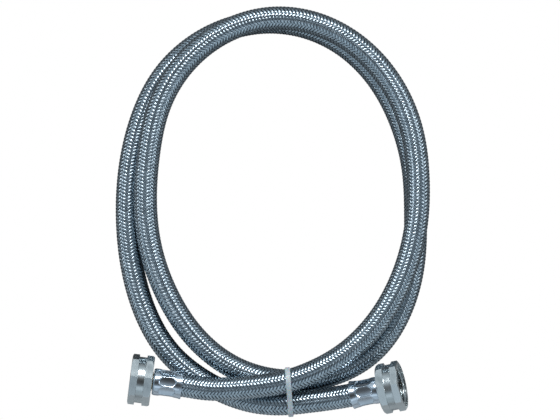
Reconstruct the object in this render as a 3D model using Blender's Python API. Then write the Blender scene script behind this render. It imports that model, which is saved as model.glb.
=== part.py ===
"""Braided supply line, 5 ft long, coiled in two turns that one cable tie holds.

A woven steel sleeve covers a yarn-reinforced inner tube. Each end is crimped by a
ferrule onto a brass stem, and a 3/4 in garden-hose swivel nut turns on that stem
and keeps a sealing washer in front of it. Everything is in metres, +Z is up, and
the coil lies flat on z = 0. The origin is at the middle of the two fittings' box,
at its bottom, with the left fitting at -X and the right one at +X.
"""
from math import cos, pi, radians, sin

import bmesh
import bpy
import numpy as np
from mathutils import Matrix, Vector

GAP = 0.0003

# The hose: outer radius and wall of each layer, outside to inside
LAYERS = {
    "braid_sleeve": (0.0075, 0.00060),
    "yarn_reinforcement": (0.0066, 0.00025),
    "inner_tube": (0.0061, 0.00130),
}
HOSE_RADIUS = LAYERS["braid_sleeve"][0]
CRIMP = 0.92  # how far the ferrule squeezes the hose, as a share of its radius
TUBE_POINTS = 78
SECTION_RESOLUTION = 2

# The coil's centre-line between the two ferrules, from the left one to the right one
ROUTE = [
    (-0.0385, -0.0008, 0.0236), (-0.0220, -0.0006, 0.0246), (-0.0072, 0.0009, 0.0261),
    (0.0110, 0.0039, 0.0272), (0.0290, 0.0100, 0.0262), (0.0509, 0.0225, 0.0238),
    (0.0725, 0.0449, 0.0228), (0.0872, 0.0725, 0.0228), (0.0951, 0.1027, 0.0231),
    (0.0965, 0.1340, 0.0232), (0.0923, 0.1651, 0.0230), (0.0799, 0.1938, 0.0229),
    (0.0592, 0.2174, 0.0230), (0.0319, 0.2325, 0.0232), (0.0010, 0.2361, 0.0233),
    (-0.0287, 0.2269, 0.0232), (-0.0530, 0.2075, 0.0228), (-0.0690, 0.1810, 0.0214),
    (-0.0762, 0.1504, 0.0194), (-0.0784, 0.1190, 0.0175), (-0.0749, 0.0877, 0.0151),
    (-0.0643, 0.0581, 0.0122), (-0.0470, 0.0316, 0.0096), (-0.0221, 0.0120, 0.0103),
    (0.0110, 0.0032, 0.0117), (0.0399, 0.0064, 0.0080), (0.0679, 0.0217, 0.0077),
    (0.0859, 0.0476, 0.0077), (0.0945, 0.0781, 0.0076), (0.0960, 0.1099, 0.0076),
    (0.0942, 0.1415, 0.0076), (0.0859, 0.1720, 0.0076), (0.0706, 0.1998, 0.0076),
    (0.0476, 0.2216, 0.0076), (0.0185, 0.2337, 0.0076), (-0.0133, 0.2340, 0.0076),
    (-0.0429, 0.2226, 0.0076), (-0.0667, 0.2012, 0.0076), (-0.0814, 0.1728, 0.0076),
    (-0.0889, 0.1419, 0.0076), (-0.0908, 0.1102, 0.0076), (-0.0879, 0.0784, 0.0076),
    (-0.0793, 0.0478, 0.0076), (-0.0632, 0.0208, 0.0076), (-0.0386, 0.0012, 0.0078),
    (-0.0095, -0.0098, 0.0134), (0.0125, -0.0108, 0.0180), (0.0265, -0.0094, 0.0181),
    (0.0405, -0.0077, 0.0171),
]

# The fittings: where each nut's middle is, and which way its mouth points
NUT_CENTRES = {"left": (-0.0807, 0.0049, 0.0247), "right": (0.0795, 0.0002, 0.0241)}
HEADINGS = {"left": radians(172.6), "right": radians(12.3)}
TILTS = {"left": radians(3.0), "right": radians(12.5)}
NUT_ROLLS = {"left": radians(11.5), "right": radians(-11.5)}

# Distances along a fitting's axis, measured back from the nut's mouth
NUT_LENGTH = 0.0142
THREAD_START = 0.0008
THREAD_PITCH = 0.0254 / 11.5
THREAD_TURNS = 3
WASHER_FACE = 0.0072
WASHER_THICKNESS = 0.0028
FLANGE_FACE = WASHER_FACE + WASHER_THICKNESS + 0.0001
FLANGE_THICKNESS = 0.0018
REAR_WALL_FACE = 0.0121
FERRULE_START = 0.0148
FERRULE_END = 0.0335
HOSE_END = 0.0173

# Radii in a fitting
NUT_SIDES = 8
NUT_ACROSS_FLATS = 0.0300
NUT_RIM = 0.0149
NUT_GROOVE = 0.0147
NUT_GROOVE_SPAN = (0.0045, 0.0093)
NUT_CHAMFER = 0.0016
THREAD_MAJOR = 0.0136
THREAD_MINOR = 0.0123
RELIEF = 0.0134
NUT_HOLE = 0.0066
WASHER_OUTER = 0.0119
WASHER_INNER = 0.00795
FLANGE = 0.0120
NECK = 0.0062
LIP_GROOVE = 0.0050
BARB = 0.00350
BARB_ROOT = 0.00315
BARB_COUNT = 5
STEM_BORE = 0.00250
FERRULE_RIDGE = 0.0086
FERRULE_VALLEY = 0.0082
FERRULE_WALL = 0.0009
FERRULE_FLARE = 0.0092
FLUTES = 8
ROUND_STEPS = 24

# The cable tie
TIE_AT = (0.0138, 0.0, 0.0)
TIE_LEAN = radians(4.3)
TIE_WIDTH = 0.0033
TIE_THICKNESS = 0.0011
TIE_SLACK = 0.0010
TIE_HEAD = (0.0048, 0.0056, 0.0031)
TIE_STEPS = 24

STEEL = ((0.55, 0.57, 0.60), 0.28, 1.0)
CHROME = ((0.66, 0.68, 0.70), 0.22, 1.0)
BRASS = ((0.72, 0.55, 0.28), 0.35, 1.0)
PVC = ((0.75, 0.76, 0.76), 0.55, 0.0)
YARN = ((0.86, 0.86, 0.82), 0.80, 0.0)
RUBBER = ((0.04, 0.04, 0.04), 0.75, 0.0)
NYLON = ((0.78, 0.83, 0.84), 0.45, 0.0)


def clear_scene():
    for old in list(bpy.data.objects):
        bpy.data.objects.remove(old, do_unlink=True)


def finish_object(obj, look):
    """Gives an object its material and links it into the scene."""
    colour, roughness, metallic = look
    material = bpy.data.materials.new(obj.name)
    material.use_nodes = True
    shader = material.node_tree.nodes["Principled BSDF"]
    shader.inputs["Base Color"].default_value = (*colour, 1.0)
    shader.inputs["Roughness"].default_value = roughness
    shader.inputs["Metallic"].default_value = metallic
    obj.data.materials.append(material)
    bpy.context.collection.objects.link(obj)
    return obj


def mesh_object(name, bm, look, parent):
    bmesh.ops.recalc_face_normals(bm, faces=bm.faces)
    mesh = bpy.data.meshes.new(name)
    bm.to_mesh(mesh)
    bm.free()
    mesh.shade_smooth()
    mesh.set_sharp_from_angle(angle=radians(35))
    obj = finish_object(bpy.data.objects.new(name, mesh), look)
    obj.parent = parent
    return obj


def smooth_curve(points, steps=24):
    """Points along the natural cubic spline through the given points."""
    points = np.array(points)
    chords = np.linalg.norm(np.diff(points, axis=0), axis=1)
    count = len(points)
    system = np.eye(count)
    right = np.zeros((count, 3))
    for i in range(1, count - 1):
        before, after = chords[i - 1], chords[i]
        system[i, i - 1:i + 2] = (before, 2 * (before + after), after)
        slopes = (points[i + 1] - points[i]) / after - (points[i] - points[i - 1]) / before
        right[i] = 6 * slopes
    bends = np.linalg.solve(system, right)
    pieces = []
    for i, chord in enumerate(chords):
        u = np.linspace(0, chord, steps, endpoint=False)[:, None]
        v = chord - u
        pieces.append(
            (bends[i] * v**3 + bends[i + 1] * u**3) / (6 * chord)
            + (points[i] / chord - bends[i] * chord / 6) * v
            + (points[i + 1] / chord - bends[i + 1] * chord / 6) * u
        )
    pieces.append(points[-1:])
    return np.vstack(pieces)


def at_distances(line, distances):
    """The points of a polyline at the given distances along it."""
    steps = np.linalg.norm(np.diff(line, axis=0), axis=1)
    along = np.concatenate([[0], np.cumsum(steps)])
    return np.array([np.interp(distances, along, line[:, axis]) for axis in range(3)]).T


def axis_of(side):
    """The unit vector along a fitting's axis, out of its mouth."""
    heading, tilt = HEADINGS[side], TILTS[side]
    return Vector((cos(heading) * cos(tilt), sin(heading) * cos(tilt), sin(tilt)))


def on_axis(side, distance):
    """The point of a fitting's axis at a distance back from its mouth."""
    return Vector(NUT_CENTRES[side]) + axis_of(side) * (NUT_LENGTH / 2 - distance)


def fitting_frame(side):
    """An empty at the nut's mouth: its Z points out of the mouth, its X points up."""
    out = axis_of(side)
    up = (Vector((0, 0, 1)) - out * out.z).normalized()
    across = out.cross(up)
    frame = Matrix((up, across, out)).transposed().to_4x4()
    frame.translation = on_axis(side, 0)
    empty = bpy.data.objects.new(side + "_fitting", None)
    empty.matrix_world = frame
    bpy.context.collection.objects.link(empty)
    return empty


def hose_line():
    """The whole centre-line, which runs straight inside each ferrule."""
    middle = (HOSE_END + FERRULE_END) / 2
    start = [tuple(on_axis("left", d)) for d in (HOSE_END, middle, FERRULE_END)]
    end = [tuple(on_axis("right", d)) for d in (FERRULE_END, middle, HOSE_END)]
    return smooth_curve([*start, *ROUTE, *end])


def hose_layer(name, line, look):
    """One layer of the hose: an open-ended tube, squeezed inside the ferrules."""
    outer, wall = LAYERS[name]
    length = np.linalg.norm(np.diff(line, axis=0), axis=1).sum()
    crimped = FERRULE_END - HOSE_END
    ends = np.array([0, crimped / 2, crimped - 0.002, crimped + 0.005])
    middle = np.linspace(ends[-1], length - ends[-1], TUBE_POINTS - 6)[1:-1]
    distances = np.concatenate([ends, middle, length - ends[::-1]])
    curve = bpy.data.curves.new(name, "CURVE")
    curve.dimensions = "3D"
    curve.twist_mode = "MINIMUM"
    curve.bevel_depth = outer
    curve.bevel_resolution = SECTION_RESOLUTION
    spline = curve.splines.new("POLY")
    spline.points.add(len(distances) - 1)
    in_ferrule = crimped - 0.001
    for point, place, distance in zip(spline.points, at_distances(line, distances), distances):
        point.co = (*place, 1)
        squeezed = min(distance, length - distance) < in_ferrule
        point.radius = CRIMP if squeezed else 1.0
    obj = finish_object(bpy.data.objects.new(name, curve), look)
    shell = obj.modifiers.new("wall", "SOLIDIFY")
    shell.thickness = wall
    shell.offset = -1
    shell.use_even_offset = True
    return obj


def turned(name, outline, look, parent, radius_at=None, steps=ROUND_STEPS):
    """A closed outline of (radius, distance back from the mouth), turned about the axis.

    radius_at(radius, angle) may change a radius with the angle, as a nut's flats do.
    """
    bm = bmesh.new()
    rings = []
    for step in range(steps):
        angle = 2 * pi * step / steps
        ring = []
        for radius, back in outline:
            if radius_at:
                radius = radius_at(radius, back, angle)
            ring.append(bm.verts.new((radius * cos(angle), radius * sin(angle), -back)))
        rings.append(ring)
    count = len(outline)
    for step, ring in enumerate(rings):
        following = rings[(step + 1) % steps]
        for i in range(count):
            j = (i + 1) % count
            bm.faces.new((ring[i], ring[j], following[j], following[i]))
    return mesh_object(name, bm, look, parent)


def nut_flats(radius, back, angle):
    """Cuts a radius down to the nut's flats."""
    part = 2 * pi / NUT_SIDES
    from_flat = (angle % part) - part / 2
    return min(radius, NUT_ACROSS_FLATS / 2 / cos(from_flat))


def swivel_nut(side, parent):
    """The eight-sided nut: a groove round its middle, a thread inside, a rear wall."""
    corner = NUT_ACROSS_FLATS / 2 / cos(pi / NUT_SIDES)
    groove_front, groove_back = NUT_GROOVE_SPAN
    outline = [
        (THREAD_MAJOR + 0.0003, 0),
        (NUT_RIM - 0.0006, 0),
        (NUT_RIM, 0.0006),
        (corner, 0.0006 + NUT_CHAMFER),
        (corner, groove_front),
        (NUT_GROOVE, groove_front),
        (NUT_GROOVE, groove_back),
        (corner, groove_back),
        (corner, NUT_LENGTH - NUT_CHAMFER),
        (corner - NUT_CHAMFER, NUT_LENGTH),
        (NUT_HOLE, NUT_LENGTH),
        (NUT_HOLE, REAR_WALL_FACE),
        (RELIEF, REAR_WALL_FACE),
    ]
    crest = THREAD_PITCH / 8
    for turn in reversed(range(THREAD_TURNS)):
        middle = THREAD_START + (turn + 0.5) * THREAD_PITCH
        outline += [
            (THREAD_MAJOR, middle + THREAD_PITCH / 2 - crest),
            (THREAD_MINOR, middle + crest),
            (THREAD_MINOR, middle - crest),
        ]
    outline.append((THREAD_MAJOR, THREAD_START))
    outline[13:13] = [(RELIEF, THREAD_START + THREAD_TURNS * THREAD_PITCH)]
    nut = turned(side + "_swivel_nut", outline, CHROME, parent, nut_flats)
    nut.rotation_euler.z = NUT_ROLLS[side]
    return nut


def sealing_washer(side, parent):
    back = WASHER_FACE + WASHER_THICKNESS
    outline = [
        (WASHER_INNER, WASHER_FACE),
        (WASHER_OUTER, WASHER_FACE),
        (WASHER_OUTER, back),
        (WASHER_INNER, back),
    ]
    return turned(side + "_washer", outline, RUBBER, parent)


def stem(side, parent):
    """The brass insert: a flange in the nut, a neck, and barbs in the inner tube."""
    flange_back = FLANGE_FACE + FLANGE_THICKNESS
    lip_front = FERRULE_START - GAP
    lip_back = FERRULE_START + FERRULE_WALL + GAP
    barbs_end = FERRULE_END - 0.0015
    outline = [
        (STEM_BORE, FLANGE_FACE),
        (FLANGE, FLANGE_FACE),
        (FLANGE, flange_back),
        (NECK, flange_back),
        (NECK, lip_front),
        (LIP_GROOVE, lip_front),
        (LIP_GROOVE, lip_back),
    ]
    pitch = (barbs_end - lip_back) / BARB_COUNT
    for barb in range(BARB_COUNT):
        start = lip_back + barb * pitch
        outline += [(BARB, start + pitch * 0.15), (BARB_ROOT, start + pitch * 0.95)]
    outline.append((STEM_BORE, barbs_end))
    return turned(side + "_stem", outline, BRASS, parent)


def ferrule(side, parent):
    """The crimped sleeve: a lip on the stem, eight long dents and a flared end."""
    dent_front = FERRULE_START + 0.0035
    dent_back = FERRULE_END - 0.0035
    profile = [
        (FERRULE_RIDGE - 0.0008, FERRULE_START),
        (FERRULE_RIDGE, FERRULE_START + 0.0008),
        (FERRULE_RIDGE, dent_front),
        (FERRULE_VALLEY, dent_front + 0.0015),
        (FERRULE_VALLEY, dent_back - 0.0015),
        (FERRULE_RIDGE, dent_back),
        (FERRULE_FLARE, FERRULE_END),
    ]
    inside = [(radius - FERRULE_WALL, back) for radius, back in reversed(profile[2:])]
    inside.append((FERRULE_RIDGE - FERRULE_WALL, FERRULE_START + FERRULE_WALL))
    lip = LIP_GROOVE + GAP
    outline = profile + inside
    outline += [(lip, FERRULE_START + FERRULE_WALL), (lip, FERRULE_START)]
    depth = FERRULE_RIDGE - FERRULE_VALLEY

    def with_ridges(radius, back, angle):
        """Fills the dents up again along the ridges between them."""
        dented = dent_front < back < dent_back
        on_ridge = round(FLUTES * angle / pi) % 2 == 1
        return radius + depth if dented and on_ridge else radius

    return turned(side + "_ferrule", outline, STEEL, parent, with_ridges)


def crossings(line, place, normal):
    """Where the hose passes through the plane of the tie."""
    offsets = (line - np.array(place)) @ np.array(normal)
    found = []
    for i in range(len(line) - 1):
        if offsets[i] * offsets[i + 1] < 0:
            share = offsets[i] / (offsets[i] - offsets[i + 1])
            point = line[i] + share * (line[i + 1] - line[i])
            if abs(point[1]) < 0.04:
                found.append(Vector(point))
    return found


def around(centres, radius):
    """The taut outline round equal circles, as points of a convex hull."""
    points = []
    for y, z in centres:
        for step in range(TIE_STEPS):
            angle = 2 * pi * step / TIE_STEPS
            points.append((y + radius * cos(angle), z + radius * sin(angle)))
    points.sort()
    hull = []
    for ordered in (points, points[::-1]):
        side = []
        for point in ordered:
            while len(side) > 1 and turns_right(side[-2], side[-1], point):
                side.pop()
            side.append(point)
        hull += side[:-1]
    return hull


def turns_right(a, b, c):
    return (b[0] - a[0]) * (c[1] - a[1]) - (b[1] - a[1]) * (c[0] - a[0]) <= 0


def cable_tie(line):
    """A nylon strap round the three passes, locked in a head underneath them."""
    normal = (cos(TIE_LEAN), sin(TIE_LEAN), 0)
    frame = Matrix.Rotation(TIE_LEAN, 4, "Z")
    frame.translation = TIE_AT
    local = [frame.inverted() @ p for p in crossings(line, TIE_AT, normal)]
    centres = [(p.y, p.z) for p in local]
    inner = around(centres, HOSE_RADIUS + TIE_SLACK)
    outer = around(centres, HOSE_RADIUS + TIE_SLACK + TIE_THICKNESS)
    bm = bmesh.new()
    sections = []
    for (y_in, z_in), (y_out, z_out) in zip(inner, outer):
        half = TIE_WIDTH / 2
        corners = ((-half, y_in, z_in), (-half, y_out, z_out))
        corners += ((half, y_out, z_out), (half, y_in, z_in))
        sections.append([bm.verts.new(corner) for corner in corners])
    for i, section in enumerate(sections):
        following = sections[(i + 1) % len(sections)]
        for j in range(4):
            k = (j + 1) % 4
            bm.faces.new((section[j], section[k], following[k], following[j]))
    strap = mesh_object("cable_tie", bm, NYLON, None)
    strap.matrix_world = frame
    low = sorted(centres, key=lambda centre: centre[1])[:2]
    top = min(z for _, z in centres) - HOSE_RADIUS - TIE_SLACK
    middle = sum(y for y, _ in low) / 2
    block = bmesh.new()
    bmesh.ops.create_cube(block, size=1.0)
    bmesh.ops.scale(block, vec=TIE_HEAD, verts=block.verts)
    bmesh.ops.translate(block, vec=(0, middle, top - TIE_HEAD[2] / 2), verts=block.verts)
    head = mesh_object("cable_tie_head", block, NYLON, strap)
    head.hide_render = True
    head.display_type = "WIRE"
    joined = strap.modifiers.new("head", "BOOLEAN")
    joined.operation = "UNION"
    joined.object = head
    return strap


def main():
    clear_scene()
    line = hose_line()
    hose_layer("braid_sleeve", line, STEEL)
    hose_layer("yarn_reinforcement", line, YARN)
    hose_layer("inner_tube", line, PVC)
    for side in ("left", "right"):
        frame = fitting_frame(side)
        swivel_nut(side, frame)
        sealing_washer(side, frame)
        stem(side, frame)
        ferrule(side, frame)
    cable_tie(line)


main()
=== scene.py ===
"""Looks for the braided supply line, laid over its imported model. Metres, +Z up."""
from math import cos, pi, radians, sin

import bmesh
import bpy
import numpy as np
from mathutils import Matrix, Vector


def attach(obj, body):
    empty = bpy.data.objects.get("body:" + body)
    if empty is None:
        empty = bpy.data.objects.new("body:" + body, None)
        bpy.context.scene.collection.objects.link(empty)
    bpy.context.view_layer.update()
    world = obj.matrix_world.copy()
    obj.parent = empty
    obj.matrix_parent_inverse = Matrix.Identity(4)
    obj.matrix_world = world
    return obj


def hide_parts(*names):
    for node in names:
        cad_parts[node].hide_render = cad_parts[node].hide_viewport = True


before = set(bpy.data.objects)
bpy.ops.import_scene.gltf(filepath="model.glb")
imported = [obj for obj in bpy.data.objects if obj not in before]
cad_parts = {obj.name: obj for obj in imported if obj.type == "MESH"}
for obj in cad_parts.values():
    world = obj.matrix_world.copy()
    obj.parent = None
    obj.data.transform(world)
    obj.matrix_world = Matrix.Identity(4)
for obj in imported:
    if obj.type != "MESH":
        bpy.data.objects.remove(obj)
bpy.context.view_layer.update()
SCENE = bpy.context.scene
RANDOM = np.random.default_rng(11)

# ---------------------------------------------------------------- the route, as in part.py
ROUTE = [
    (-0.0385, -0.0008, 0.0236), (-0.0220, -0.0006, 0.0246), (-0.0072, 0.0009, 0.0261),
    (0.0110, 0.0039, 0.0272), (0.0290, 0.0100, 0.0262), (0.0509, 0.0225, 0.0238),
    (0.0725, 0.0449, 0.0228), (0.0872, 0.0725, 0.0228), (0.0951, 0.1027, 0.0231),
    (0.0965, 0.1340, 0.0232), (0.0923, 0.1651, 0.0230), (0.0799, 0.1938, 0.0229),
    (0.0592, 0.2174, 0.0230), (0.0319, 0.2325, 0.0232), (0.0010, 0.2361, 0.0233),
    (-0.0287, 0.2269, 0.0232), (-0.0530, 0.2075, 0.0228), (-0.0690, 0.1810, 0.0214),
    (-0.0762, 0.1504, 0.0194), (-0.0784, 0.1190, 0.0175), (-0.0749, 0.0877, 0.0151),
    (-0.0643, 0.0581, 0.0122), (-0.0470, 0.0316, 0.0096), (-0.0221, 0.0120, 0.0103),
    (0.0110, 0.0032, 0.0117), (0.0399, 0.0064, 0.0080), (0.0679, 0.0217, 0.0077),
    (0.0859, 0.0476, 0.0077), (0.0945, 0.0781, 0.0076), (0.0960, 0.1099, 0.0076),
    (0.0942, 0.1415, 0.0076), (0.0859, 0.1720, 0.0076), (0.0706, 0.1998, 0.0076),
    (0.0476, 0.2216, 0.0076), (0.0185, 0.2337, 0.0076), (-0.0133, 0.2340, 0.0076),
    (-0.0429, 0.2226, 0.0076), (-0.0667, 0.2012, 0.0076), (-0.0814, 0.1728, 0.0076),
    (-0.0889, 0.1419, 0.0076), (-0.0908, 0.1102, 0.0076), (-0.0879, 0.0784, 0.0076),
    (-0.0793, 0.0478, 0.0076), (-0.0632, 0.0208, 0.0076), (-0.0386, 0.0012, 0.0078),
    (-0.0095, -0.0098, 0.0134), (0.0125, -0.0108, 0.0180), (0.0265, -0.0094, 0.0181),
    (0.0405, -0.0077, 0.0171),
]
NUT_CENTRES = {"left": (-0.0807, 0.0049, 0.0247), "right": (0.0795, 0.0002, 0.0241)}
HEADINGS = {"left": radians(172.6), "right": radians(12.3)}
TILTS = {"left": radians(3.0), "right": radians(12.5)}
NUT_ROLLS = {"left": radians(11.5), "right": radians(-11.5)}
FERRULE_ROLLS = {"left": radians(10), "right": radians(-10)}
YARN_RADII = (0.0066, 0.00635)  # outer, inner
TUBE_RADII = (0.0061, 0.0048)
TUBE_STEP = 0.0025

# Distances along a fitting's axis, measured back from the nut's mouth
NUT_LENGTH = 0.0142
THREAD_PITCH = 0.0254 / 11.5
THREAD_END = 0.0072
WASHER_FACE = 0.0072
WASHER_THICKNESS = 0.0028
FLANGE_FACE = WASHER_FACE + WASHER_THICKNESS + 0.0001
FLANGE_THICKNESS = 0.0018
REAR_WALL_FACE = 0.0121
FERRULE_START = 0.0148
FERRULE_END = 0.0335
HOSE_END = 0.0173
CRIMP = 0.92  # the hose's size inside the ferrules, as a share
CRIMP_TAPER = 0.0020
BORE = 0.0025

# The nut, in radii
NUT_SIDES = 8
NUT_FLAT = 0.0150
NUT_BLANK = 0.0172
NUT_CONE = 0.0171
NUT_MOUTH = 0.0148
NUT_GROOVE = 0.0147
GROOVE_SPAN = (0.0045, 0.0093)
GROOVE_WALL = 0.0001
THREAD_ROOT = 0.0136
THREAD_DEPTH = 0.0013
NUT_HOLE = 0.0066

# The ferrule, in radii
FERRULE_BODY = 0.00862
FERRULE_LIP = 0.0092
FERRULE_INSIDE = 0.0077
FERRULE_HOLE = 0.0053
DENTS = 8
DENT_HALF_LENGTH = 0.0053
DENT_HALF_WIDTH = 0.0030
ROUND_STEPS = 192  # round the axis of a nut or a ferrule

# The braid: two over and two under
CARRIERS = 12  # each way
LEAD = 0.0264
CROSSING = LEAD / (2 * CARRIERS)
STEPS_PER_CROSSING = 2
BRAID_RADIUS = 0.00720
BRAID_LIFT = 0.00022
RIBBON_HALF = 0.00080
RIBBON = [  # across, in half-widths, and outward, in metres
    (-1.0, -0.00010), (-0.74, 0.00007), (-0.28, 0.00016), (0.28, 0.00016),
    (0.74, 0.00007), (1.0, -0.00010), (0.70, -0.00016), (-0.70, -0.00016),
]
BRAID_PHASE = radians(-23.0)
WAVE_SHARPNESS = 1.7  # how suddenly a carrier dives under the others
GROUPS = 3  # pieces for each way, of four carriers each

CAMERA_PLACE = (0.00815, 0.1136, 1.3)
CAMERA_LENS = 128.2
LIGHT_AIM = (0, 0.1, 0)
SKY_STOPS = [  # height of the direction looked in, from 0 to 1, and its colour
    (0.0, (0.24, 0.25, 0.26)), (0.35, (0.44, 0.51, 0.56)), (0.87, (0.32, 0.39, 0.45)),
    (0.95, (0.14, 0.15, 0.16)), (1.0, (0.05, 0.05, 0.05)),
]
SKY_SQUEEZE = (0.45, 1, 1)
FLOOR_HEIGHT = -0.0004
FLOOR_CHANGE = (-0.015, 0.03)  # Y where the floor's grey starts and stops changing
# Painted light and shade on the floor: pale towards -Y, dark under the coil.
FLOOR_LIT_AND_SHADED_GREYS = (0.62, 0.20)


# ---------------------------------------------------------------- node materials
class Look:
    """A Principled material and its nodes."""

    def __init__(self, name, colour, roughness, metallic=0.0, **values):
        self.material = bpy.data.materials.new(name)
        self.material.use_nodes = True
        self.nodes = self.material.node_tree.nodes
        self.shader = self.nodes["Principled BSDF"]
        self.set(self.shader, "Base Color", (*colour, 1.0))
        self.set(self.shader, "Roughness", roughness)
        self.set(self.shader, "Metallic", metallic)
        for key, value in values.items():
            self.set(self.shader, key.replace("_", " "), value)
        self.place = self.node("TexCoord").outputs["Object"]

    @staticmethod
    def set(node, key, value):
        node.inputs[key].default_value = value

    def node(self, kind, **fields):
        made = self.nodes.new("ShaderNode" + kind)
        for key, value in fields.items():
            setattr(made, key, value)
        return made

    def link(self, source, target):
        self.material.node_tree.links.new(source, target)

    def noise(self, scale, detail=4.0, roughness=0.55, stretch=None):
        """A noise value from 0 to 1 over the piece."""
        place = self.place
        if stretch:
            mapping = self.node("Mapping")
            self.set(mapping, "Scale", stretch)
            self.link(place, mapping.inputs["Vector"])
            place = mapping.outputs["Vector"]
        noise = self.node("TexNoise")
        self.set(noise, "Scale", scale)
        self.set(noise, "Detail", detail)
        self.set(noise, "Roughness", roughness)
        self.link(place, noise.inputs["Vector"])
        return noise.outputs["Fac"]

    def remap(self, value, low, high, start=0.3, end=0.7):
        """Maps a value's range start..end to low..high."""
        node = self.node("MapRange")
        for key, number in zip(("From Min", "From Max", "To Min", "To Max"),
                               (start, end, low, high)):
            self.set(node, key, number)
        self.link(value, node.inputs["Value"])
        return node.outputs["Result"]

    def colours(self, value, *stops):
        """Colours along a value from 0 to 1: (position, colour) stops."""
        ramp = self.node("ValToRGB")
        elements = ramp.color_ramp.elements
        while len(elements) < len(stops):
            elements.new(0.5)
        for element, (position, colour) in zip(elements, stops):
            element.position = position
            element.color = (*colour, 1.0)
        self.link(value, ramp.inputs["Fac"])
        return ramp.outputs["Color"]

    def attribute(self, name):
        return self.node("Attribute", attribute_name=name).outputs["Fac"]

    def math(self, operation, *values):
        node = self.node("Math", operation=operation)
        for socket, value in zip(node.inputs, values):
            if isinstance(value, (int, float)):
                socket.default_value = value
            else:
                self.link(value, socket)
        return node.outputs["Value"]

    def bump(self, height, distance, strength):
        bump = self.node("Bump")
        self.set(bump, "Distance", distance)
        self.set(bump, "Strength", strength)
        self.link(height, bump.inputs["Height"])
        self.drive("Normal", bump.outputs["Normal"])

    def drive(self, key, value):
        self.link(value, self.shader.inputs[key])


def steel_wire():
    """Bright stainless carriers, with painted shade at their edges and where they dive under."""
    look = Look("steel_wire", (0.62, 0.64, 0.66), 0.26, 1.0, Anisotropic=0.8)
    spread = look.node("Attribute", attribute_name="spread").outputs["Vector"]
    look.drive("Tangent", spread)
    tone = look.attribute("tone")
    mixed = look.math("ADD", look.math("MULTIPLY", tone, 0.75),
                      look.math("MULTIPLY", look.noise(260.0), 0.25))
    # Painted shade: the base colour darkens towards each carrier's edges and where it dives under
    # the others; the per-carrier tone and noise are real.
    painted_edge_shade = look.remap(look.math("ABSOLUTE", look.attribute("across")), 1.0, 0.30, 0.36, 1.0)
    under = look.remap(look.attribute("over"), 0.22, 1.0, -0.9, 0.3)
    tone_and_painted_shade = look.math("MULTIPLY", look.math("MULTIPLY", painted_edge_shade, under), mixed)
    look.drive("Base Color", look.colours(
        tone_and_painted_shade, (0.05, (0.05, 0.055, 0.07)), (0.30, (0.34, 0.41, 0.46)), (0.50, (0.53, 0.63, 0.70)),
        (0.8, (0.71, 0.81, 0.88))))
    look.drive("Roughness", look.remap(look.noise(900.0), 0.20, 0.34))
    return look.material


def yarn():
    """Matt yarn, painted near-black as shade so that the gaps in the braid look deep."""
    look = Look("yarn", (0.05, 0.05, 0.05), 0.8)
    fluff = look.noise(1500.0)
    look.drive("Base Color", look.colours(
        fluff, (0.3, (0.030, 0.029, 0.028)), (0.7, (0.085, 0.080, 0.074))))
    look.bump(fluff, 0.0002, 0.6)
    return look.material


def tube_plastic():
    look = Look("tube_plastic", (0.6, 0.6, 0.58), 0.5)
    grain = look.noise(300.0)
    look.drive("Base Color", look.colours(
        grain, (0.3, (0.52, 0.52, 0.50)), (0.7, (0.62, 0.62, 0.60))))
    look.drive("Roughness", look.remap(grain, 0.42, 0.58))
    return look.material


def polished_steel():
    """The ferrule's drawn and crimped stainless: bright, with faint drawing lines."""
    look = Look("polished_steel", (0.78, 0.78, 0.79), 0.16, 1.0)
    stain = look.noise(140.0, 5.0)
    look.drive("Base Color", look.colours(
        stain, (0.25, (0.57, 0.64, 0.71)), (0.55, (0.70, 0.79, 0.88)), (0.8, (0.75, 0.84, 0.93))))
    fine = look.noise(60.0, 3.0, 0.6, (60, 60, 1.5))
    look.drive("Roughness", look.remap(fine, 0.11, 0.22))
    look.bump(fine, 0.00002, 0.35)
    return look.material


def nickel():
    """Satin nickel plating, with fine turning lines and specks."""
    look = Look("nickel", (0.72, 0.71, 0.69), 0.22, 1.0)
    cloud = look.noise(120.0, 6.0)
    look.drive("Base Color", look.colours(
        cloud, (0.25, (0.51, 0.55, 0.56)), (0.5, (0.63, 0.68, 0.69)), (0.8, (0.70, 0.75, 0.77))))
    lines = look.noise(1.0, 2.0, 0.6, (30, 30, 9000))
    speck = look.noise(2600.0, 2.0)
    mixed = look.math("ADD", look.math("MULTIPLY", lines, 0.4), look.math("MULTIPLY", speck, 0.6))
    look.drive("Roughness", look.remap(cloud, 0.18, 0.30))
    look.bump(mixed, 0.00003, 0.30)
    return look.material


def brass():
    look = Look("brass", (0.78, 0.58, 0.28), 0.28, 1.0)
    cloud = look.noise(220.0, 5.0)
    look.drive("Base Color", look.colours(
        cloud, (0.3, (0.60, 0.41, 0.18)), (0.6, (0.78, 0.58, 0.29)), (0.8, (0.84, 0.66, 0.38))))
    lines = look.noise(1.0, 2.0, 0.6, (30, 30, 8000))
    look.drive("Roughness", look.remap(lines, 0.22, 0.36))
    look.bump(lines, 0.00004, 0.4)
    return look.material


def rubber():
    look = Look("rubber", (0.025, 0.025, 0.025), 0.6)
    grain = look.noise(1800.0, 3.0)
    look.drive("Base Color", look.colours(
        grain, (0.3, (0.018, 0.017, 0.017)), (0.75, (0.045, 0.043, 0.042))))
    look.drive("Roughness", look.remap(grain, 0.5, 0.75))
    look.bump(grain, 0.00006, 0.4)
    return look.material


def nylon():
    """Milky natural nylon, faintly blue."""
    look = Look("nylon", (0.66, 0.74, 0.78), 0.34, Subsurface_Weight=0.25,
                Subsurface_Scale=0.002)
    cloud = look.noise(400.0, 3.0)
    look.drive("Base Color", look.colours(
        cloud, (0.3, (0.55, 0.64, 0.68)), (0.7, (0.70, 0.78, 0.81))))
    look.drive("Roughness", look.remap(look.noise(1500.0), 0.28, 0.42))
    look.bump(cloud, 0.00012, 0.3)
    return look.material


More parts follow.
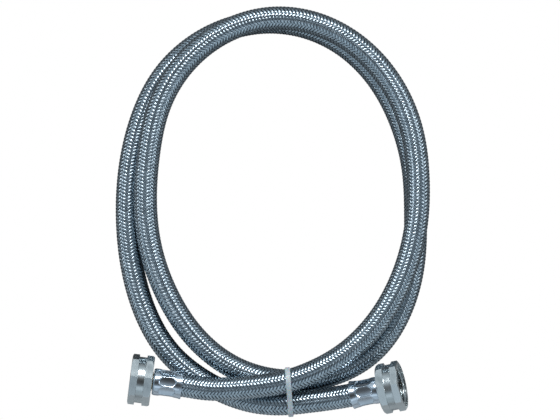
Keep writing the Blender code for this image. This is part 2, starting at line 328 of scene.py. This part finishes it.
# ---------------------------------------------------------------- meshes from grids of points
def grid_faces(shape, wrap_rows):
    """The quads of count x rows x columns grids that close along their columns."""
    index = np.arange(np.prod(shape)).reshape(shape)
    if wrap_rows:
        index = np.concatenate([index, index[:, :1]], axis=1)
    turned = np.roll(index, -1, axis=2)
    corners = (index[:, :-1], turned[:, :-1], turned[:, 1:], index[:, 1:])
    return np.stack(corners, axis=-1).reshape(-1, 4)


def grid_piece(name, grids, material, wrap_rows=False, matrix=None, sharp=None, **attributes):
    """One piece from count x rows x columns grids of points.

    Columns close on themselves; rows close too, or else their ends get caps.
    """
    grids = np.asarray(grids, float)
    if grids.ndim == 3:
        grids = grids[None]
    shape = grids.shape[:3]
    points = grids.reshape(-1, 3)
    quads = grid_faces(shape, wrap_rows)
    caps = []
    if not wrap_rows:
        index = np.arange(np.prod(shape)).reshape(shape)
        caps = [*index[:, 0, ::-1], *index[:, -1, :]]
    corner = points[quads]
    volume = np.einsum("ij,ij->", np.cross(corner[:, 0], corner[:, 1]), corner[:, 2])
    volume += np.einsum("ij,ij->", np.cross(corner[:, 0], corner[:, 2]), corner[:, 3])
    if volume < 0:
        quads = quads[:, ::-1]
        caps = [cap[::-1] for cap in caps]
    loops = np.concatenate([quads.ravel(), *caps]).astype(np.int32)
    sizes = np.array([4] * len(quads) + [len(cap) for cap in caps])
    starts = np.concatenate([[0], np.cumsum(sizes)[:-1]]).astype(np.int32)
    mesh = bpy.data.meshes.new(name)
    mesh.vertices.add(len(points))
    mesh.loops.add(len(loops))
    mesh.polygons.add(len(sizes))
    mesh.vertices.foreach_set("co", points.ravel())
    mesh.loops.foreach_set("vertex_index", loops)
    mesh.polygons.foreach_set("loop_start", starts)
    mesh.update(calc_edges=True)
    mesh.validate()
    for key, values in attributes.items():
        if np.ndim(values) == 4:
            layer = mesh.attributes.new(key, "FLOAT_VECTOR", "POINT")
            layer.data.foreach_set("vector", np.broadcast_to(values, (*shape, 3)).ravel())
        else:
            layer = mesh.attributes.new(key, "FLOAT", "POINT")
            layer.data.foreach_set("value", np.broadcast_to(values, shape).ravel())
    mesh.shade_smooth()
    if sharp:
        mesh.set_sharp_from_angle(angle=radians(sharp))
    return piece(name, mesh, material, matrix)


def piece(name, mesh, material, matrix=None):
    mesh.materials.append(material)
    made = bpy.data.objects.new(name, mesh)
    if matrix is not None:
        made.matrix_world = matrix
    SCENE.collection.objects.link(made)
    return made


def belongs(made, body, node):
    """Rides a piece on its body, in place of a CAD node, which it hides."""
    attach(made, body)
    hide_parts(node)
    return made


# ---------------------------------------------------------------- the hose
def smooth_curve(points, steps=24):
    """Points along the natural cubic spline through the given points."""
    points = np.array(points)
    chords = np.linalg.norm(np.diff(points, axis=0), axis=1)
    count = len(points)
    system = np.eye(count)
    right = np.zeros((count, 3))
    for i in range(1, count - 1):
        before, after = chords[i - 1], chords[i]
        system[i, i - 1:i + 2] = (before, 2 * (before + after), after)
        slopes = (points[i + 1] - points[i]) / after - (points[i] - points[i - 1]) / before
        right[i] = 6 * slopes
    bends = np.linalg.solve(system, right)
    pieces = []
    for i, chord in enumerate(chords):
        u = np.linspace(0, chord, steps, endpoint=False)[:, None]
        v = chord - u
        pieces.append(
            (bends[i] * v**3 + bends[i + 1] * u**3) / (6 * chord)
            + (points[i] / chord - bends[i] * chord / 6) * v
            + (points[i + 1] / chord - bends[i + 1] * chord / 6) * u
        )
    pieces.append(points[-1:])
    return np.vstack(pieces)


def axis_of(side):
    """The unit vector along a fitting's axis, out of its mouth."""
    heading, tilt = HEADINGS[side], TILTS[side]
    return Vector((cos(heading) * cos(tilt), sin(heading) * cos(tilt), sin(tilt)))


def on_axis(side, distance):
    """The point of a fitting's axis at a distance back from its mouth."""
    return Vector(NUT_CENTRES[side]) + axis_of(side) * (NUT_LENGTH / 2 - distance)


def fitting_frame(side, roll=0.0):
    """At the nut's mouth: Z points out of the mouth, X points up."""
    out = axis_of(side)
    up = (Vector((0, 0, 1)) - out * out.z).normalized()
    matrix = Matrix((up, out.cross(up), out)).transposed().to_4x4()
    matrix.translation = on_axis(side, 0)
    return matrix @ Matrix.Rotation(roll, 4, "Z")


def hose_line():
    """The whole centre-line, which runs straight inside each ferrule."""
    middle = (HOSE_END + FERRULE_END) / 2
    start = [tuple(on_axis("left", d)) for d in (HOSE_END, middle, FERRULE_END)]
    end = [tuple(on_axis("right", d)) for d in (FERRULE_END, middle, HOSE_END)]
    return smooth_curve([*start, *ROUTE, *end])


class HoseFrames:
    """Places, directions and squeeze at equal steps along the hose."""

    def __init__(self, line, step):
        lengths = np.linalg.norm(np.diff(line, axis=0), axis=1)
        along = np.concatenate([[0], np.cumsum(lengths)])
        self.length = along[-1]
        count = int(round(self.length / step))
        self.s = np.linspace(0, self.length, count + 1)
        self.place = np.array([np.interp(self.s, along, line[:, i]) for i in range(3)]).T
        self.out = np.gradient(self.place, self.s, axis=0)
        self.out /= np.linalg.norm(self.out, axis=1)[:, None]
        up = np.array([0.0, 0.0, 1.0]) - self.out * self.out[:, 2:]
        self.up = up / np.linalg.norm(up, axis=1)[:, None]
        self.side = np.cross(self.out, self.up)
        in_ferrule = FERRULE_END - HOSE_END
        from_end = np.minimum(self.s, self.length - self.s)
        inside = np.clip((in_ferrule - from_end) / CRIMP_TAPER, 0, 1)
        self.squeeze = 1 - (1 - CRIMP) * inside * inside * (3 - 2 * inside)

    def radial(self, angle):
        """Unit vectors out of the hose at an angle from up."""
        return np.cos(angle)[..., None] * self.up + np.sin(angle)[..., None] * self.side


def tube(name, frames, radii, material, sides=28):
    """A round tube with a wall, its two ends joined into one closed skin."""
    turn = 2 * pi * np.arange(sides) / sides
    rows = []
    for radius in radii:
        ring = radius * frames.squeeze[:, None]
        spread = np.cos(turn)[None, :, None] * frames.up[:, None]
        spread = spread + np.sin(turn)[None, :, None] * frames.side[:, None]
        rows.append(frames.place[:, None] + ring[..., None] * spread)
    grid = np.concatenate([rows[0], rows[1][::-1]])
    return grid_piece(name, grid, material, wrap_rows=True, sharp=50)


def braid_group(name, frames, way, carriers, material):
    """Some of the carriers that wind one way, each two over and two under."""
    carriers = np.asarray(carriers)[:, None]
    crossing = frames.s[None] / CROSSING
    angle = 2 * pi * (carriers / CARRIERS + way * frames.s[None] / LEAD) + BRAID_PHASE
    column = 2 * carriers + way * crossing
    wave = np.tanh(WAVE_SHARPNESS * np.cos(2 * pi * (column - 0.5) / 4)) / np.tanh(WAVE_SHARPNESS)
    radius = (BRAID_RADIUS + way * BRAID_LIFT * wave) * frames.squeeze
    radial = frames.radial(angle)
    around = np.cross(np.broadcast_to(frames.out, radial.shape), radial)
    slope = 2 * pi * BRAID_RADIUS / LEAD
    strand = frames.out[None] + way * slope * around
    strand /= np.linalg.norm(strand, axis=2)[..., None]
    across = np.cross(radial, strand)
    section = np.array(RIBBON)
    middle = frames.place[None] + radius[..., None] * radial
    grids = (
        middle[:, :, None]
        + (RIBBON_HALF * section[:, 0])[None, None, :, None] * across[:, :, None]
        + section[:, 1][None, None, :, None] * radial[:, :, None]
    )
    tone = RANDOM.uniform(0.42, 0.62, (len(carriers), 1, 1))
    drift = np.cumsum(RANDOM.normal(0, 0.02, (len(carriers), len(frames.s), 1)), axis=1)
    tone = np.clip(tone + 0.12 * np.sin(drift), 0, 1)
    return grid_piece(name, grids, material, sharp=60, across=section[:, 0][None, None],
                      tone=tone, over=(way * wave)[:, :, None], spread=across[:, :, None])


def make_hose():
    line = hose_line()
    fine = HoseFrames(line, CROSSING / STEPS_PER_CROSSING)
    coarse = HoseFrames(line, TUBE_STEP)
    core = tube("yarn_sleeve", coarse, YARN_RADII, yarn())
    belongs(core, "hose", "yarn_reinforcement")
    inner = tube("water_tube", coarse, TUBE_RADII, tube_plastic())
    belongs(inner, "hose", "inner_tube")
    wire = steel_wire()
    strands = []
    for way, word in ((1, "right"), (-1, "left")):
        for group in range(GROUPS):
            carriers = range(group, CARRIERS, GROUPS)
            name = f"braid_{word}_hand_{group + 1}"
            made = braid_group(name, fine, way, carriers, wire)
            strands.append(belongs(made, "hose", "braid_sleeve"))
    path = [tuple(point) for point in coarse.place]
    return core, [inner, *strands], path, coarse.length


# ---------------------------------------------------------------- the fittings
def rounded(outline, radius, steps=3):
    """A closed outline with its corners rounded."""
    points = [np.array(p, float) for p in outline]
    made = []
    for i, point in enumerate(points):
        before, after = points[i - 1], points[(i + 1) % len(points)]
        reach = min(radius, np.linalg.norm(before - point) * 0.45,
                    np.linalg.norm(after - point) * 0.45)
        start = point + (before - point) / np.linalg.norm(before - point) * reach
        end = point + (after - point) / np.linalg.norm(after - point) * reach
        for step in range(steps + 1):
            u = step / steps
            made.append((1 - u) ** 2 * start + 2 * u * (1 - u) * point + u * u * end)
    return np.array(made)


def refined(outline, longest):
    """A closed outline with extra points, none further apart than longest."""
    made = []
    for i, point in enumerate(outline):
        following = outline[(i + 1) % len(outline)]
        count = max(1, int(np.ceil(np.linalg.norm(following - point) / longest)))
        for step in range(count):
            made.append(point + (following - point) * step / count)
    return np.array(made)


def lathe(name, outline, material, matrix, steps=96, shape=None, sharp=35):
    """A closed (radius, distance back) outline turned about the axis."""
    angle = 2 * pi * np.arange(steps)[:, None] / steps
    radius = np.broadcast_to(outline[:, 0][None], (steps, len(outline)))
    back = np.broadcast_to(outline[:, 1][None], radius.shape)
    if shape:
        radius, back = shape(radius, back, angle)
    grid = np.stack([radius * np.cos(angle), radius * np.sin(angle), -back], axis=-1)
    return grid_piece(name, grid, material, wrap_rows=True, matrix=matrix, sharp=sharp)


def soft_min(a, b, blend):
    """The smaller of two arrays, with a rounded change from one to the other."""
    gap = np.clip(0.5 + 0.5 * (b - a) / blend, 0, 1)
    return b * (1 - gap) + a * gap - blend * gap * (1 - gap)


def nut_shape(radius, back, angle):
    """Flats outside, which the chamfers cut, and a helical thread inside."""
    part = 2 * pi / NUT_SIDES
    from_flat = (angle % part) - part / 2
    flat = NUT_FLAT / np.cos(from_flat)
    cone = NUT_CONE - np.clip(back - (NUT_LENGTH - 0.0021), 0, 1) * 0.85
    front = NUT_FLAT + 0.0001 + back * 1.9
    blend = 0.00022
    cut = soft_min(soft_min(flat, cone, blend), front, blend)
    outside = radius > NUT_GROOVE + 0.00002
    radius = np.where(outside, np.minimum(radius, cut), radius)
    turn = (back / THREAD_PITCH - angle / (2 * pi)) % 1.0
    crest = np.clip((0.5 - np.abs(turn - 0.5)) * 4 - 0.45, 0, 1)
    starts = np.clip((back - 0.0007) / 0.0012, 0, 1)
    ends = np.clip((THREAD_END + 0.0002 - back) / 0.001, 0, 1)
    thread = (
        (radius > THREAD_ROOT - 0.0002)
        & (radius < THREAD_ROOT + 0.0006)
        & (back < THREAD_END + 0.0004)
    )
    ridge = THREAD_ROOT - THREAD_DEPTH * crest * starts * ends
    return np.where(thread, ridge, radius), back


def swivel_nut(side, material):
    start, end = GROOVE_SPAN
    chamber = THREAD_ROOT - 0.0002
    profile = [
        (THREAD_ROOT + 0.0003, 0.0), (NUT_MOUTH, 0.0), (NUT_BLANK, 0.0011),
        (NUT_BLANK, start - GROOVE_WALL), (NUT_GROOVE, start), (NUT_GROOVE, end),
        (NUT_BLANK, end + GROOVE_WALL), (NUT_BLANK, NUT_LENGTH - 0.0004),
        (NUT_MOUTH, NUT_LENGTH), (NUT_HOLE, NUT_LENGTH), (NUT_HOLE, REAR_WALL_FACE),
        (chamber, REAR_WALL_FACE), (chamber, THREAD_END + 0.0006),
        (THREAD_ROOT, THREAD_END + 0.0004), (THREAD_ROOT, 0.0006),
    ]
    outline = refined(rounded(profile, 0.0003), 0.00016)
    matrix = fitting_frame(side, NUT_ROLLS[side])
    return lathe(side + "_nut_shell", outline, material, matrix, ROUND_STEPS, nut_shape, 38)


def dented(radius, back, angle):
    """Crimps all round, like long rounded slots, which dent both faces of the wall."""
    part = 2 * pi / DENTS
    from_middle = ((angle + part / 2) % part) - part / 2
    floor = FERRULE_INSIDE + 0.0060 * from_middle ** 2
    centre = (FERRULE_START + FERRULE_END) / 2 - 0.0001
    along = np.clip(np.abs(back - centre) - DENT_HALF_LENGTH + DENT_HALF_WIDTH, 0, 1)
    inside = DENT_HALF_WIDTH - np.hypot(along, 0.0086 * from_middle)
    blend = np.clip(inside / 0.0005 + 0.55, 0, 1)
    blend = blend * blend * (3 - 2 * blend)
    outer = radius + (np.minimum(floor, radius) - radius) * blend
    inner = radius - 0.0004 * blend * (radius > 0.0070)
    return np.where(radius > FERRULE_INSIDE + 0.00005, outer, inner), back


def ferrule(side, material):
    profile = [
        (FERRULE_HOLE, FERRULE_START), (0.0079, FERRULE_START),
        (0.0085, FERRULE_START + 0.0007), (FERRULE_BODY, FERRULE_START + 0.002),
        (FERRULE_BODY, FERRULE_END - 0.0034), (0.00885, FERRULE_END - 0.0014),
        (FERRULE_LIP, FERRULE_END - 0.0001), (0.0084, FERRULE_END),
        (0.0080, FERRULE_END - 0.0012), (FERRULE_INSIDE, FERRULE_END - 0.0034),
        (FERRULE_INSIDE, FERRULE_START + 0.0010), (FERRULE_HOLE, FERRULE_START + 0.0006),
    ]
    outline = refined(rounded(profile, 0.0004), 0.0002)
    matrix = fitting_frame(side, FERRULE_ROLLS[side])
    return lathe(side + "_crimp_ferrule", outline, material, matrix, ROUND_STEPS, dented, 40)


def stem(side, material):
    flange_back = FLANGE_FACE + FLANGE_THICKNESS
    lip = FERRULE_START + 0.0009
    flange, neck, spigot = 0.0120, 0.0062, 0.0050
    profile = [
        (BORE, FLANGE_FACE), (flange, FLANGE_FACE), (flange, flange_back),
        (neck, flange_back), (neck, FERRULE_START - 0.0003),
        (spigot, FERRULE_START - 0.0003), (spigot, lip),
    ]
    barbs = 5
    tip = FERRULE_END - 0.0015
    pitch = (tip - lip) / barbs
    for barb in range(barbs):
        start = lip + barb * pitch
        profile += [(0.0035, start + pitch * 0.15), (0.00315, start + pitch * 0.95)]
    profile.append((BORE, tip))
    outline = rounded(profile, 0.0002)
    return lathe(side + "_brass_stem", outline, material, fitting_frame(side), 64)


def washer(side, material):
    """A flat ring with a shallow groove in its face."""
    back = WASHER_FACE + WASHER_THICKNESS
    groove = WASHER_FACE + 0.0003
    inner, outer = 0.00795, 0.0119
    profile = [
        (inner, WASHER_FACE), (0.0092, WASHER_FACE), (0.0096, groove), (0.0106, groove),
        (0.0110, WASHER_FACE), (outer, WASHER_FACE), (outer, back), (inner, back),
    ]
    return lathe(side + "_rubber_washer", rounded(profile, 0.0003), material,
                 fitting_frame(side), 64)


def make_fittings():
    metal, plated, gold, black = polished_steel(), nickel(), brass(), rubber()
    made = {}
    for side in ("left", "right"):
        nut_body = side + "_nut"
        made[side] = [
            belongs(ferrule(side, metal), "hose", side + "_ferrule"),
            belongs(stem(side, gold), "hose", side + "_stem"),
            belongs(swivel_nut(side, plated), nut_body, side + "_swivel_nut"),
            belongs(washer(side, black), nut_body, side + "_washer"),
        ]
    return made


# ---------------------------------------------------------------- the cable tie
TIE_AT = (0.0138, 0.0, 0.0)
TIE_LEAN = radians(4.3)
TIE_WIDTH = 0.0033
TIE_THICKNESS = 0.0011
TIE_INNER = 0.00765  # from a hose's centre-line to the strap
TIE_REACH = 0.04  # the passes further away than this in Y aren't tied
TIE_HEAD = (0.0048, 0.0056, 0.0030)


def crossings(line):
    """Where the hose passes through the plane of the tie."""
    normal = np.array((cos(TIE_LEAN), sin(TIE_LEAN), 0))
    offsets = (line - np.array(TIE_AT)) @ normal
    found = []
    for i in range(len(line) - 1):
        if offsets[i] * offsets[i + 1] < 0:
            share = offsets[i] / (offsets[i] - offsets[i + 1])
            point = line[i] + share * (line[i + 1] - line[i])
            if abs(point[1]) < TIE_REACH:
                found.append(Vector(point))
    return found


def turns_right(a, b, c):
    """Whether a path from a to b to c turns right or runs straight."""
    return (b[0] - a[0]) * (c[1] - a[1]) - (b[1] - a[1]) * (c[0] - a[0]) <= 0


def around(centres, radius, steps=40):
    """The taut outline round equal circles: (y, z, outward y, outward z)."""
    points = []
    for y, z in centres:
        for step in range(steps):
            angle = 2 * pi * step / steps
            out = (cos(angle), sin(angle))
            points.append((y + radius * out[0], z + radius * out[1], *out))
    points.sort()
    hull = []
    for ordered in (points, points[::-1]):
        side = []
        for point in ordered:
            while len(side) > 1 and turns_right(side[-2], side[-1], point):
                side.pop()
            side.append(point)
        hull += side[:-1]
    return np.array(hull)


def tie_head(centres, material, matrix):
    """The block under the two lowest passes, hollowed at both ends of its slot."""
    low = sorted(centres, key=lambda centre: centre[1])[:2]
    top = low[0][1] - TIE_INNER
    middle = (low[0][0] + low[1][0]) / 2
    bm = bmesh.new()
    bmesh.ops.create_cube(bm, size=1.0)
    bmesh.ops.scale(bm, vec=TIE_HEAD, verts=bm.verts)
    below = top - TIE_HEAD[2] / 2 - 0.0002
    bmesh.ops.translate(bm, vec=(0, middle, below), verts=bm.verts)
    ends = [face for face in bm.faces if abs(face.normal.y) > 0.5]
    for face in ends:
        bmesh.ops.inset_region(bm, faces=[face], thickness=0.0006, depth=0)
        bmesh.ops.translate(bm, vec=-face.normal * 0.0010, verts=face.verts)
    mesh = bpy.data.meshes.new("tie_head")
    bm.to_mesh(mesh)
    bm.free()
    head = piece("tie_head", mesh, material, matrix)
    bevel = head.modifiers.new("edges", "BEVEL")
    bevel.width = 0.0004
    bevel.segments = 3
    mesh.shade_smooth()
    return head


def cable_tie():
    material = nylon()
    matrix = Matrix.Rotation(TIE_LEAN, 4, "Z")
    matrix.translation = TIE_AT
    local = [matrix.inverted() @ p for p in crossings(hose_line())]
    centres = [(p.y, p.z) for p in local]
    hull = around(centres, TIE_INNER)
    half, thick = TIE_WIDTH / 2, TIE_THICKNESS
    section = rounded([(-half, 0), (half, 0), (half, thick * 0.75), (half - 0.0005, thick),
                       (-half + 0.0005, thick), (-half, thick * 0.75)], 0.00025, 2)
    grid = np.zeros((len(hull), len(section), 3))
    grid[..., 0] = section[:, 0]
    grid[..., 1] = hull[:, 0:1] + hull[:, 2:3] * section[:, 1]
    grid[..., 2] = hull[:, 1:2] + hull[:, 3:4] * section[:, 1]
    strap = grid_piece("tie_strap", grid, material, wrap_rows=True, matrix=matrix, sharp=50)
    head = tie_head(centres, material, matrix)
    for made in (strap, head):
        belongs(made, "hose", "cable_tie")
    return [strap, head]


# ---------------------------------------------------------------- studio
def area_light(name, place, width, height, power, colour=(1, 1, 1)):
    data = bpy.data.lights.new(name, "AREA")
    data.shape = "RECTANGLE"
    data.size = width
    data.size_y = height
    data.energy = power
    data.color = colour
    lamp = bpy.data.objects.new(name, data)
    direction = Vector(LIGHT_AIM) - Vector(place)
    turn = direction.to_track_quat("-Z", "Y").to_matrix().to_4x4()
    lamp.matrix_world = Matrix.Translation(place) @ turn
    SCENE.collection.objects.link(lamp)


def make_camera():
    data = bpy.data.cameras.new("camera")
    data.sensor_width = 36
    data.lens = CAMERA_LENS
    data.clip_end = 30
    camera = bpy.data.objects.new("camera", data)
    camera.location = CAMERA_PLACE
    SCENE.collection.objects.link(camera)
    SCENE.camera = camera


def white_for_camera(tree, others):
    """White where the camera looks straight at it, another shader for all else."""
    kind = "Background" if others.type == "BACKGROUND" else "Emission"
    white = tree.nodes.new("ShaderNode" + kind)
    white.inputs["Strength"].default_value = 1.0
    white.inputs["Color"].default_value = (1, 1, 1, 1)
    path = tree.nodes.new("ShaderNodeLightPath")
    mix = tree.nodes.new("ShaderNodeMixShader")
    tree.links.new(path.outputs["Is Camera Ray"], mix.inputs["Fac"])
    tree.links.new(others.outputs[0], mix.inputs[1])
    tree.links.new(white.outputs[0], mix.inputs[2])
    return mix


def make_world():
    """A sky that is bright low down and dark overhead, where the camera is."""
    world = bpy.data.worlds.new("studio")
    SCENE.world = world
    world.use_nodes = True
    tree = world.node_tree
    tree.nodes.clear()
    place = tree.nodes.new("ShaderNodeTexCoord")
    squeeze = tree.nodes.new("ShaderNodeVectorMath")
    squeeze.operation = "MULTIPLY"
    squeeze.inputs[1].default_value = SKY_SQUEEZE
    tree.links.new(place.outputs["Generated"], squeeze.inputs[0])
    unit = tree.nodes.new("ShaderNodeVectorMath")
    unit.operation = "NORMALIZE"
    tree.links.new(squeeze.outputs["Vector"], unit.inputs[0])
    split = tree.nodes.new("ShaderNodeSeparateXYZ")
    tree.links.new(unit.outputs["Vector"], split.inputs["Vector"])
    ramp = tree.nodes.new("ShaderNodeValToRGB")
    elements = ramp.color_ramp.elements
    while len(elements) < len(SKY_STOPS):
        elements.new(0.5)
    for element, (position, colour) in zip(elements, SKY_STOPS):
        element.position = position
        element.color = (*colour, 1)
    tree.links.new(split.outputs["Z"], ramp.inputs["Fac"])
    sky = tree.nodes.new("ShaderNodeBackground")
    tree.links.new(ramp.outputs["Color"], sky.inputs["Color"])
    out = tree.nodes.new("ShaderNodeOutputWorld")
    tree.links.new(white_for_camera(tree, sky).outputs[0], out.inputs["Surface"])


def floor_material():
    """Painted light and shade: pale towards -Y, a lit patch which the fittings reflect, and dark
    under the coil, painted shade which the hoses' edges reflect.
    """
    look = Look("floor", (1, 1, 1), 0.9)
    split = look.node("SeparateXYZ")
    look.link(look.place, split.inputs["Vector"])
    look.drive("Base Color", look.remap(split.outputs["Y"], *FLOOR_LIT_AND_SHADED_GREYS, *FLOOR_CHANGE))
    tree = look.material.node_tree
    tree.links.new(white_for_camera(tree, look.shader).outputs[0],
                   tree.nodes["Material Output"].inputs["Surface"])
    return look.material


def make_floor():
    bm = bmesh.new()
    bmesh.ops.create_grid(bm, x_segments=4, y_segments=4, size=4.0)
    mesh = bpy.data.meshes.new("floor")
    bm.to_mesh(mesh)
    bm.free()
    floor = piece("floor", mesh, floor_material(), Matrix.Translation((0, 0, FLOOR_HEIGHT)))


def make_studio():
    SCENE.view_settings.view_transform = "Standard"
    SCENE.view_settings.look = "None"
    make_world()
    make_floor()
    area_light("key", (-0.15, 1.20, 1.30), 0.90, 0.28, 14.0)
    area_light("fill", (0.10, -0.95, 1.30), 1.2, 0.5, 0.7, (0.85, 0.93, 1.0))
    area_light("side_left", (-1.45, 0.30, 0.25), 0.15, 0.8, 2.0)
    area_light("side_right", (1.35, 0.30, 0.65), 0.15, 0.8, 2.0)


# ---------------------------------------------------------------- all of it
make_camera()
core, on_hose, path, length = make_hose()
fittings = make_fittings()
tie = cable_tie()
make_studio()
